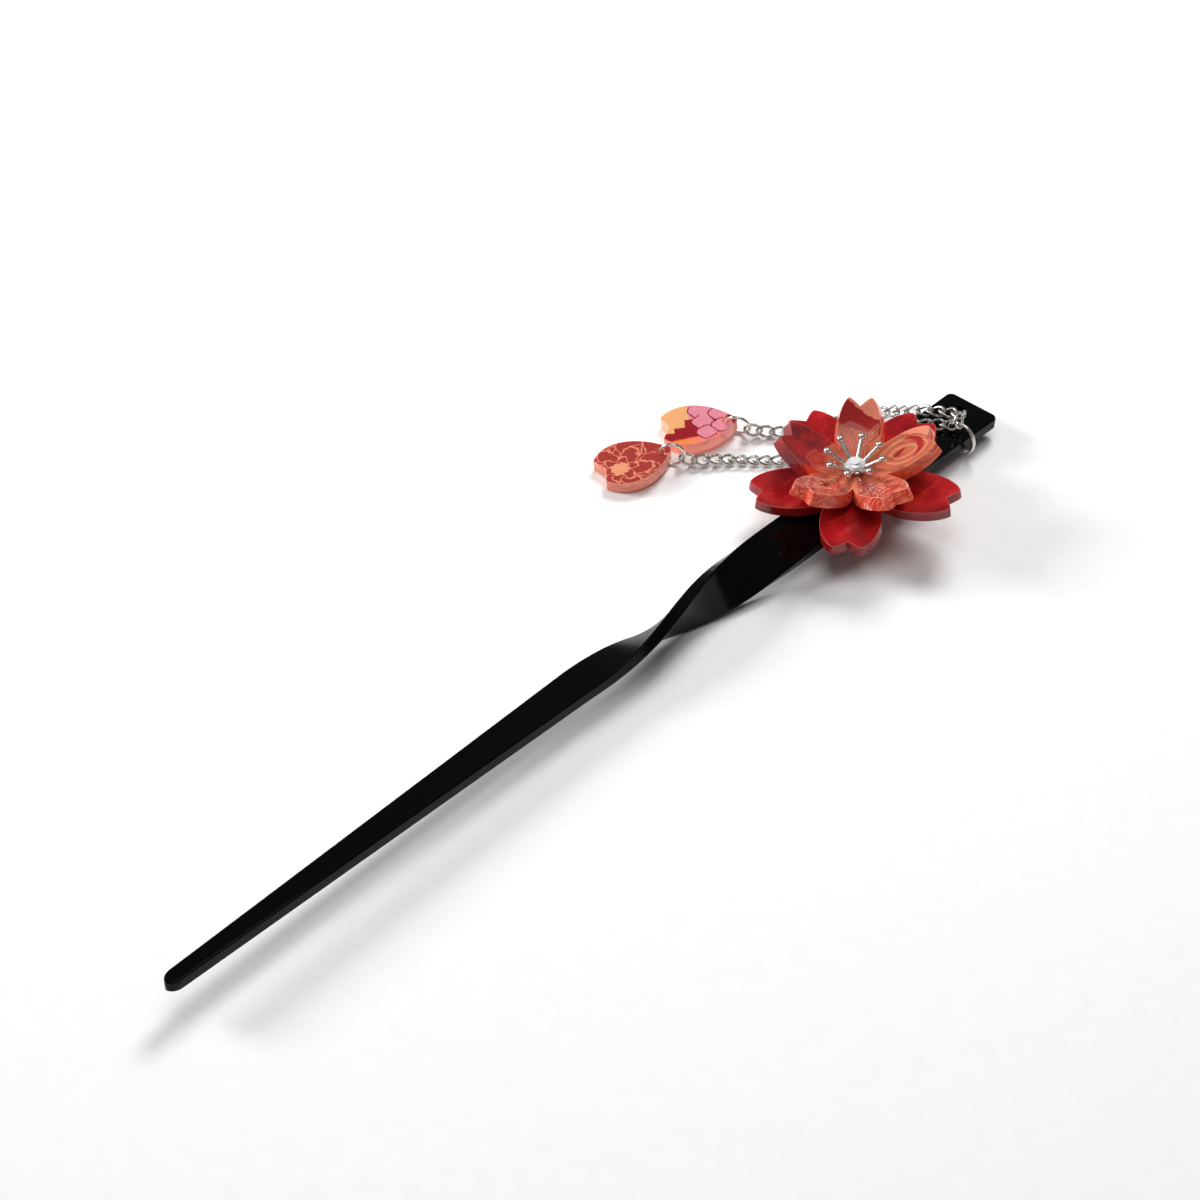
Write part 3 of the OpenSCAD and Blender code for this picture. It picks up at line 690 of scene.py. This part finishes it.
# Rows of (share of the radius, height) where the crown breaks, at its even and its odd corners
CROWN_BREAKS = [(0.8, 0.62), (0.82, 0.66)]
bm = bmesh.new()
spot, base_edges = start_ring(bm, GIRDLE_SIDES, STONE_RADIUS)[:2]
bmesh.ops.contextual_create(bm, geom=base_edges)
loop, ring = grow_ring(bm, base_edges, spot)
bmesh.ops.translate(bm, verts=ring, vec=(0, 0, GIRDLE_HEIGHT))
loop, ring = grow_ring(bm, loop, spot)
for vert in ring:
    reach, height = CROWN_BREAKS[vert[spot] % 2]
    vert.co = (vert.co.x * reach, vert.co.y * reach, height)
loop, ring = grow_ring(bm, loop, spot)
for vert in ring:
    angle = math.radians(360 / GIRDLE_SIDES * (vert[spot] // 2 * 2))
    table_radius = TABLE_SHARE * STONE_RADIUS
    vert.co = (table_radius * math.cos(angle), table_radius * math.sin(angle), TABLE_HEIGHT)
bmesh.ops.remove_doubles(bm, verts=ring, dist=0.01)
table_edges = [e for e in bm.edges if all(abs(v.co.z - TABLE_HEIGHT) < 1e-4 for v in e.verts)]
bmesh.ops.contextual_create(bm, geom=table_edges)
cut_glass = new_material("cut_glass", {"Roughness": 0.05, "IOR": 1.6, "Metallic": 0.2,
                                       "Coat Weight": 1.0, "Coat Roughness": 0.01})
# The paler patches in the stone's base colour are painted sparkle.
painted_sparkle = noise(cut_glass, place_of(cut_glass), 1500.0, 1.0)
to_shader(cut_glass, "Base Color", mix(cut_glass, remap(cut_glass, painted_sparkle, 0.4, 0.6, 0.0, 1.0),
                                       (0.86, 0.87, 0.9, 1), (1.0, 1.0, 1.0, 1)))
stone = make_piece(bm, "cut_stone", on_disc @ Matrix.Translation((0, 0, STONE_SEAT)), [cut_glass],
                   sharp_over=5)
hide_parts("centre_stone")
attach(stone, "root")


# Head ring and chain ring
# The head ring is a round of plated wire passed through the stick's second hole and round its
# near edge. A smaller jump ring of thinner wire joins the far chain to it.

HEAD_RING_RADIUS = 2.7
HEAD_RING_WIRE = 0.65
HEAD_RING_MIDDLE = (-8.2, -3.5, 0.35)
CHAIN_RING_RADIUS = 1.3
CHAIN_RING_WIRE = 0.5
CHAIN_RING_MIDDLE = (-7.6, -2.45, 5.7)
wire_plate = bright_plate("wire_plate", tone=0.8, rough=0.26)


def make_ring(name, radius, wire, place, node):
    """A ring of round wire, spun from the wire's section."""
    bm = bmesh.new()
    section = Matrix.Translation((radius, 0, 0)) @ Matrix.Rotation(math.pi / 2, 4, "X")
    bmesh.ops.create_circle(bm, segments=18, radius=wire / 2, matrix=section)
    bmesh.ops.spin(bm, geom=bm.verts[:] + bm.edges[:], axis=(0, 0, 1), cent=(0, 0, 0), steps=72,
                   angle=2 * math.pi, use_merge=True)
    bmesh.ops.remove_doubles(bm, verts=bm.verts, dist=0.0005)
    ring = make_piece(bm, name, place, [wire_plate])
    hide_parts(node)
    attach(ring, "root")


make_ring("ring_through_head", HEAD_RING_RADIUS, HEAD_RING_WIRE,
          on_stick @ Matrix.Translation(HEAD_RING_MIDDLE) @ Matrix.Rotation(math.pi / 2, 4, "Y"), "head_ring")
ring_axis = Vector((-0.25, 0.9, -0.33))
ring_tilt = (Matrix.Rotation(math.atan2(ring_axis.y, ring_axis.x), 4, "Z")
             @ Matrix.Rotation(math.acos(ring_axis.normalized().z), 4, "Y"))
make_ring("ring_on_far_chain", CHAIN_RING_RADIUS, CHAIN_RING_WIRE,
          head_place @ Matrix.Translation(CHAIN_RING_MIDDLE) @ ring_tilt, "chain_ring")


# Chains
# Each chain is a fine plated curb chain: links of round wire, bent to ovals, twisted flat and
# soldered. Both run from the head over the stick's far edge and lie along the surface.

LINK_PITCH = 2.05
LINK_HALF_LENGTH = 1.44
LINK_HALF_WIDTH = 0.88
LINK_ROLL = 54
LINK_WIRE = 0.5
LINK_STEPS = 24
LINK_SIDES = 10
# A route's rows are x, y and z, from the surface below the middle of the head's end, and the
# roll of the link in degrees.
FAR_FROM = (-6.4, -2.0, 6.0)
FAR_ROUTE = [(-6.3, -1.4, 5.7, 5), (-6.5, 0.3, 5.3, -5), (-7.4, 2.3, 5.0, -10), (-8.4, 4.0, 4.8, -15),
             (-9.2, 5.7, 4.4, -15), (-9.7, 7.1, 3.5, -35), (-9.6, 8.7, 3.0, -35), (-10.2, 11.3, 1.5, -35),
             (-11.0, 12.6, 1.0, -25), (-13.6, 14.5, 1.0, -35), (-19.1, 16.5, 0.8, -5),
             (-22.5, 18.8, 0.9, 10), (-23.8, 19.7, 0.9, -10), (-25.5, 21.0, 1.0, -20),
             (-26.9, 22.4, 1.2, -40), (-28.3, 24.1, 1.4, -55), (-28.9, 24.6, 1.3, -75)]
FAR_TO = (-28.7, 24.5, 1.5)
NEAR_FROM = (-8.0, -1.6, 4.6)
NEAR_ROUTE = [(-8.5, -1.1, 4.6, -5), (-9.9, 0.2, 4.8, -20), (-11.8, 2.0, 4.9, -10), (-13.2, 3.3, 4.9, -10),
              (-14.6, 5.0, 4.7, -20), (-15.9, 6.7, 3.8, -20), (-17.1, 8.5, 2.6, -25),
              (-18.5, 10.4, 1.4, -15), (-20.8, 12.4, 0.9, -10), (-24.3, 13.6, 0.8, 5),
              (-29.0, 14.7, 0.9, 0), (-32.3, 17.6, 0.8, 0), (-35.4, 21.2, 0.8, 10), (-36.9, 22.7, 0.9, -5),
              (-38.3, 24.0, 1.0, 0), (-39.9, 25.4, 1.1, -25), (-41.4, 26.8, 1.4, -50),
              (-42.3, 27.5, 1.6, -60)]
NEAR_TO = (-41.9, 27.3, 1.6)
CURVE_STEPS = 12


def smooth_route(points):
    """Points along a smooth curve through the route, with the roll as a fourth number."""
    curve = []
    for i in range(len(points) - 1):
        a, b = Vector(points[max(0, i - 1)]), Vector(points[i])
        c, d = Vector(points[i + 1]), Vector(points[min(len(points) - 1, i + 2)])
        for j in range(CURVE_STEPS):
            t = j / CURVE_STEPS
            curve.append(0.5 * (2 * b + (c - a) * t + (2 * a - 5 * b + 4 * c - d) * t * t
                                + (3 * b - a - 3 * c + d) * t * t * t))
    return curve + [Vector(points[-1])]


def link_places(curve):
    """Places one pitch apart along the curve, from its start."""
    places = [curve[0]]
    i = 1
    while True:
        here = places[-1].xyz
        while i < len(curve) - 1 and (curve[i].xyz - here).length < LINK_PITCH:
            i += 1
        if i >= len(curve) - 1:
            return places
        near, far = (curve[i - 1].xyz - here).length, (curve[i].xyz - here).length
        places.append(curve[i - 1].lerp(curve[i], (LINK_PITCH - near) / (far - near)))


def link_point(t):
    """A point on the middle of the wire of the twisted oval link."""
    c, s = math.cos(t), math.sin(t)
    x = LINK_HALF_LENGTH * math.copysign(abs(c) ** 0.8, c)
    r = LINK_HALF_WIDTH * math.copysign(abs(s) ** 0.8, s)
    roll = math.radians(LINK_ROLL * x / LINK_HALF_LENGTH)
    return Vector((x, r * math.cos(roll), r * math.sin(roll)))


def add_link(bm, place):
    """One closed link: rings of wire are grown round the oval, and the last is bridged to the first."""
    spot, start, ring = start_ring(bm, LINK_SIDES, LINK_WIRE / 2)
    loop = start
    for k in range(LINK_STEPS):
        t = 2 * math.pi * (k + 0.5) / LINK_STEPS
        if k > 0:
            loop, ring = grow_ring(bm, loop, spot)
        middle = link_point(t)
        along = (link_point(t + 0.07) - link_point(t - 0.07)).normalized()
        out = along.cross(middle.cross(along).normalized()).normalized()
        up = along.cross(out)
        for i, vert in enumerate(ring):
            turn = 2 * math.pi * i / LINK_SIDES
            wire = middle + LINK_WIRE / 2 * (math.cos(turn) * out + math.sin(turn) * up)
            vert.co = place @ wire
    bmesh.ops.bridge_loops(bm, edges=start + loop)


def make_chain(name, start, route, end, node):
    bm = bmesh.new()
    places = link_places(smooth_route(route))
    for i, place in enumerate(places):
        here = place.xyz
        behind = Vector(start) if i == 0 else places[i - 1].xyz
        ahead = Vector(end) if i == len(places) - 1 else places[i + 1].xyz
        if i == 0:
            ahead = here
        if i == len(places) - 1:
            behind = here
        x = (ahead - behind).normalized()
        side = Vector((0, 0, 1)).cross(x).normalized()
        roll = math.radians(place.w)
        y = side * math.cos(roll) + x.cross(side) * math.sin(roll)
        axes = Matrix((x, y, x.cross(y))).transposed().to_4x4()
        add_link(bm, Matrix.Translation(here) @ axes)
    chain = make_piece(bm, name, head_place, [chain_plate])
    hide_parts(node)
    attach(chain, "root")


chain_plate = bright_plate("chain_plate", tone=0.68, rough=0.26)
make_chain("far_curb_chain", FAR_FROM, FAR_ROUTE, FAR_TO, "far_chain")
make_chain("near_curb_chain", NEAR_FROM, NEAR_ROUTE, NEAR_TO, "near_chain")


# Drop rings
# Each drop hangs on a jump ring of plated wire, passed through its drilled point and the last
# link of its chain. The near ring stands upright on the surface, and the far one leans a little.

DROP_RING_RADIUS = 2.05
RING_REACH = 1.78
HOLE_HEIGHT = 1.96
FLOOR_GAP = 0.01


def make_drop_ring(name, hole, heading, lean, node):
    height = DROP_RING_RADIUS * math.cos(math.radians(lean)) + LINK_WIRE / 2 + FLOOR_GAP
    reach = Vector((RING_REACH, -math.tan(math.radians(lean)) * (HOLE_HEIGHT - height)))
    at = Matrix.Rotation(math.radians(heading), 2) @ reach
    place = (head_place @ Matrix.Translation((hole[0] + at.x, hole[1] + at.y, height))
             @ Matrix.Rotation(math.radians(heading), 4, "Z")
             @ Matrix.Rotation(math.radians(90 - lean), 4, "X"))
    make_ring(name, DROP_RING_RADIUS, LINK_WIRE, place, node)


FAR_HOLE = (-30.6, 27.7)
NEAR_HOLE = (-44.1, 30.25)
make_drop_ring("ring_on_far_drop", FAR_HOLE, heading=-62.3, lean=-15, node="far_ring")
make_drop_ring("ring_on_near_drop", NEAR_HOLE, heading=-54, lean=0, node="near_ring")


# Drops
# The two drops are single petals of clear acrylic over printed paper film, drilled at the point.
# The far one is golden, crimson and mauve, and the near one brick red with a salmon line drawing.

DROP_LENGTH = 12.5
DROP_WIDTH = 10.0
DROP_THICKNESS = 2.0
BACK_HALF_WIDTH = 2.8
NOTCH_DEPTH = 1.1
POINT_RADIUS = 0.9
HOLE_INSET = 1.8
HOLE_RADIUS = 0.8
DROP_ROWS = [0, 0.1, 0.25, 0.5, 0.75, 0.9, 1]
DROP_PITCH = 5
BACK_HEIGHT = 0.03


def drop_outline():
    """Outline of a drop in the flat sheet, counter-clockwise, with its drilled hole at 0, 0."""
    back = (DROP_LENGTH, BACK_HALF_WIDTH)
    side = [(POINT_RADIUS * (1 - math.cos(math.radians(a))), POINT_RADIUS * math.sin(math.radians(a)))
            for a in range(0, 61, 10)]
    curve = [(0.45, 0.78), (4.2, DROP_WIDTH * 0.56), (9.6, DROP_WIDTH * 0.66), back]
    side += [tuple(bezier(curve, i / 28)) for i in range(1, 29)]
    side += [(DROP_LENGTH - 0.06, 2.55), (DROP_LENGTH - 0.25, 2.1), (DROP_LENGTH - 0.68, 1.05)]
    notch = [(DROP_LENGTH - NOTCH_DEPTH, 0.0)]
    points = [(x, -y) for x, y in side] + notch + [(x, y) for x, y in side[:0:-1]]
    return [Vector((x - HOLE_INSET, y)) for x, y in points]


def make_drop(name, hole, heading, materials, node):
    bm = bmesh.new()
    cut_sheet(bm, drop_outline(), DROP_THICKNESS, DROP_ROWS, HOLE_RADIUS)
    round_rims(bm, DROP_THICKNESS, 0.22, 0.16)
    note_flat_places(bm, DROP_THICKNESS, 0, 0.2)
    pivot = DROP_LENGTH - HOLE_INSET
    place = (head_place @ Matrix.Translation((hole[0], hole[1], 0))
             @ Matrix.Rotation(math.radians(heading), 4, "Z") @ Matrix.Translation((pivot, 0, BACK_HEIGHT))
             @ Matrix.Rotation(math.radians(DROP_PITCH), 4, "Y") @ Matrix.Translation((-pivot, 0, 0)))
    piece = make_piece(bm, name, place, materials, SHARP_OVER)
    even_normals(piece)
    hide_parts(node)
    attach(piece, "root")


def drop_base(name, painted_glow):
    """Clear acrylic. The walls and rims get a faint painted glow, an emission that stands for light gathered
    by the sheet leaving by its walls.
    """
    return new_material(name, {"Emission Strength": painted_glow, "Roughness": 0.1, "IOR": 1.49, "Coat Weight": 0.3,
                               "Coat Roughness": 0.04, "Subsurface Weight": 0.25,
                               "Subsurface Scale": 0.0012, "Subsurface Radius": (1.0, 0.35, 0.2)})


def far_print(name, painted_paleness, painted_glow):
    """Golden ground, a stepped crimson bank and mauve scallops outlined in crimson."""
    m = drop_base(name, painted_glow)
    flat = flat_place(m, 0.5)
    speck = noise(m, flat, 4.0, 3.0)
    colour = mix(m, remap(m, speck, 0.35, 0.7, 0.0, 1.0), (0.78, 0.36, 0.14, 1), (0.82, 0.44, 0.21, 1))
    crimson = (0.3, 0.01, 0.016, 1)
    mauve = mix(m, remap(m, speck, 0.35, 0.7, 0.0, 1.0), (0.66, 0.2, 0.27, 1), (0.76, 0.3, 0.36, 1))
    colour = mix(m, side_of(m, flat, 180, -6.1), colour, mauve)
    for offset, down in ((-6.9, -1.4), (-8.8, 0.6), (-12, 1.8)):
        step = all_of(m, side_of(m, flat, 180, offset), side_of(m, flat, 90, down))
        colour = mix(m, step, colour, crimson)
    edging = mix(m, side_of(m, flat, 180, -5.4, 1.6), (0.86, 0.24, 0.07, 1), (0.86, 0.2, 0.2, 1))
    colour = mix(m, side_of(m, flat, 97, 2.7, 0.25), colour, edging)
    for centre, radius in (((4.2, -3.4), 1.9), ((3.9, -0.4), 1.8), ((3.5, 2.4), 1.7), ((1.0, -2.2), 1.8),
                           ((0.8, 1.0), 1.8)):
        edge = bloom_edge(m, flat, centre, radius, 4, 0.3, 0.12)
        colour = mix(m, inside(m, edge), colour, mauve)
        colour = mix(m, all_of(m, line_along(m, edge, 0.16), side_of(m, flat, 20, centre[0] - 0.6)), colour,
                     crimson)
    # Painted light: the wall and rim copies are painted paler, and the colour is also given out as the
    # painted glow.
    colour = mix(m, painted_paleness, colour, (0.98, 0.36, 0.26, 1))
    to_shader(m, "Base Color", colour)
    to_shader(m, "Emission Color", colour)
    return m


def near_print(name, painted_paleness, painted_glow):
    """Brick red ground with a large blossom drawn in salmon lines round a speckled gold centre."""
    m = drop_base(name, painted_glow)
    flat = flat_place(m, 1.5)
    speck = noise(m, flat, 5.0, 3.0)
    colour = mix(m, remap(m, speck, 0.35, 0.7, 0.0, 1.0), (0.33, 0.033, 0.027, 1), (0.42, 0.055, 0.04, 1))
    salmon = (0.76, 0.25, 0.17, 1)
    for radius, turn, width in ((3.2, 0.2, 0.26), (5.6, 0.9, 0.32), (6.6, 1.3, 0.16), (8.6, 0.4, 0.36)):
        edge = bloom_edge(m, flat, (7.6, 1.1), radius, 6, turn, 0.5)
        colour = mix(m, line_along(m, edge, width), colour, salmon)
    gold = mix(m, remap(m, noise(m, flat, 5.0, 2.0), 0.4, 0.6, 0.0, 1.0), (0.84, 0.4, 0.19, 1), salmon)
    colour = mix(m, inside(m, bloom_edge(m, flat, (7.6, 1.1), 1.7, 9, 0.0, 0.2)), colour, gold)
    # Painted light: the wall and rim copies are painted paler, and the colour is also given out as the
    # painted glow.
    colour = mix(m, painted_paleness, colour, (1.0, 0.33, 0.22, 1))
    to_shader(m, "Base Color", colour)
    to_shader(m, "Emission Color", colour)
    return m


# The drops' wall and rim copies are paler and glow: painted light for the bright translucent walls, and a
# painted highlight on the rims.
far_prints = [far_print("far_print_top", painted_paleness=0.0, painted_glow=0.0),
              far_print("far_print_wall", painted_paleness=0.6, painted_glow=0.3),
              far_print("far_print_rim", painted_paleness=0.35, painted_glow=0.1)]
make_drop("far_petal_drop", FAR_HOLE, heading=138.4, materials=far_prints, node="far_drop")
near_prints = [near_print("near_print_top", painted_paleness=0.0, painted_glow=0.0),
               near_print("near_print_wall", painted_paleness=0.7, painted_glow=0.1),
               near_print("near_print_rim", painted_paleness=0.3, painted_glow=0.05)]
make_drop("near_petal_drop", NEAR_HOLE, heading=155.4, materials=near_prints, node="near_drop")


# Surface
# The hair stick lies on a plain white board, matt and very slightly uneven.

BOARD_HALF_WIDTH = 1500
bm = bmesh.new()
bmesh.ops.create_grid(bm, x_segments=8, y_segments=8, size=BOARD_HALF_WIDTH)
board_paint = new_material("board_paint", {"Roughness": 0.85, "Specular IOR Level": 0.2})
grain = noise(board_paint, place_of(board_paint), 300.0, 3.0)
to_shader(board_paint, "Base Color", mix(board_paint, remap(board_paint, grain, 0.3, 0.7, 0.0, 1.0),
                                         (0.93, 0.93, 0.925, 1), (0.95, 0.95, 0.945, 1)))
board = make_piece(bm, "board", Matrix.Identity(4), [board_paint])


# Light
# A large soft light hangs overhead, and two lower ones beyond the stick throw its shadow towards
# the viewer's right. The one on the head's side isn't mirrored in the gloss, and the room is dim,
# so the black faces stay dark.

def make_light(name, place, aim, width, height, watts, spread=180, upright=None, in_gloss=True):
    light = bpy.data.lights.new(name, "AREA")
    light.shape = "RECTANGLE"
    light.size = width
    light.size_y = height
    light.energy = watts
    light.spread = math.radians(spread)
    lamp = bpy.data.objects.new(name, light)
    back = (Vector(place) - Vector(aim)).normalized()
    across = Vector(upright or (0, 0, 1)).cross(back).normalized()
    axes = Matrix((across, back.cross(across), back)).transposed().to_4x4()
    lamp.matrix_world = Matrix.Translation(place) @ axes
    lamp.visible_glossy = in_gloss
    bpy.context.scene.collection.objects.link(lamp)


make_light("overhead", place=(0.03, 0.0, 0.6), aim=(0.02, 0, 0), width=0.4, height=0.4, watts=1.05,
           upright=(0, 1, 0))
make_light("head_side", place=(0.595, 0.24, 0.558), aim=(0, 0, 0), width=0.3, height=0.3, watts=1.05,
           spread=80, in_gloss=False)
make_light("far_side", place=(-0.367, 0.721, 0.394), aim=(0, 0, 0), width=0.3, height=0.26, watts=1.15,
           spread=80)
room = bpy.data.worlds.new("room")
room.use_nodes = True
room.node_tree.nodes["Background"].inputs["Color"].default_value = (1, 1, 1, 1)
room.node_tree.nodes["Background"].inputs["Strength"].default_value = 0.12
bpy.context.scene.world = room
bpy.context.scene.view_settings.view_transform = "Standard"


# Camera
# A long lens looks down at the stick from beside its tip, as in the photograph.

CAMERA_PLACE = (-0.22517, -0.21718, 0.28887)
CAMERA_HEADING = (0.5459, 0.5103, -0.6646)
camera = bpy.data.cameras.new("camera")
camera.lens = 84
camera.sensor_width = 36
camera.clip_start = 0.01
viewer = bpy.data.objects.new("camera", camera)
viewer.location = CAMERA_PLACE
viewer.rotation_euler = Vector(CAMERA_HEADING).to_track_quat("-Z", "Y").to_euler()
bpy.context.scene.collection.objects.link(viewer)
bpy.context.scene.camera = viewer
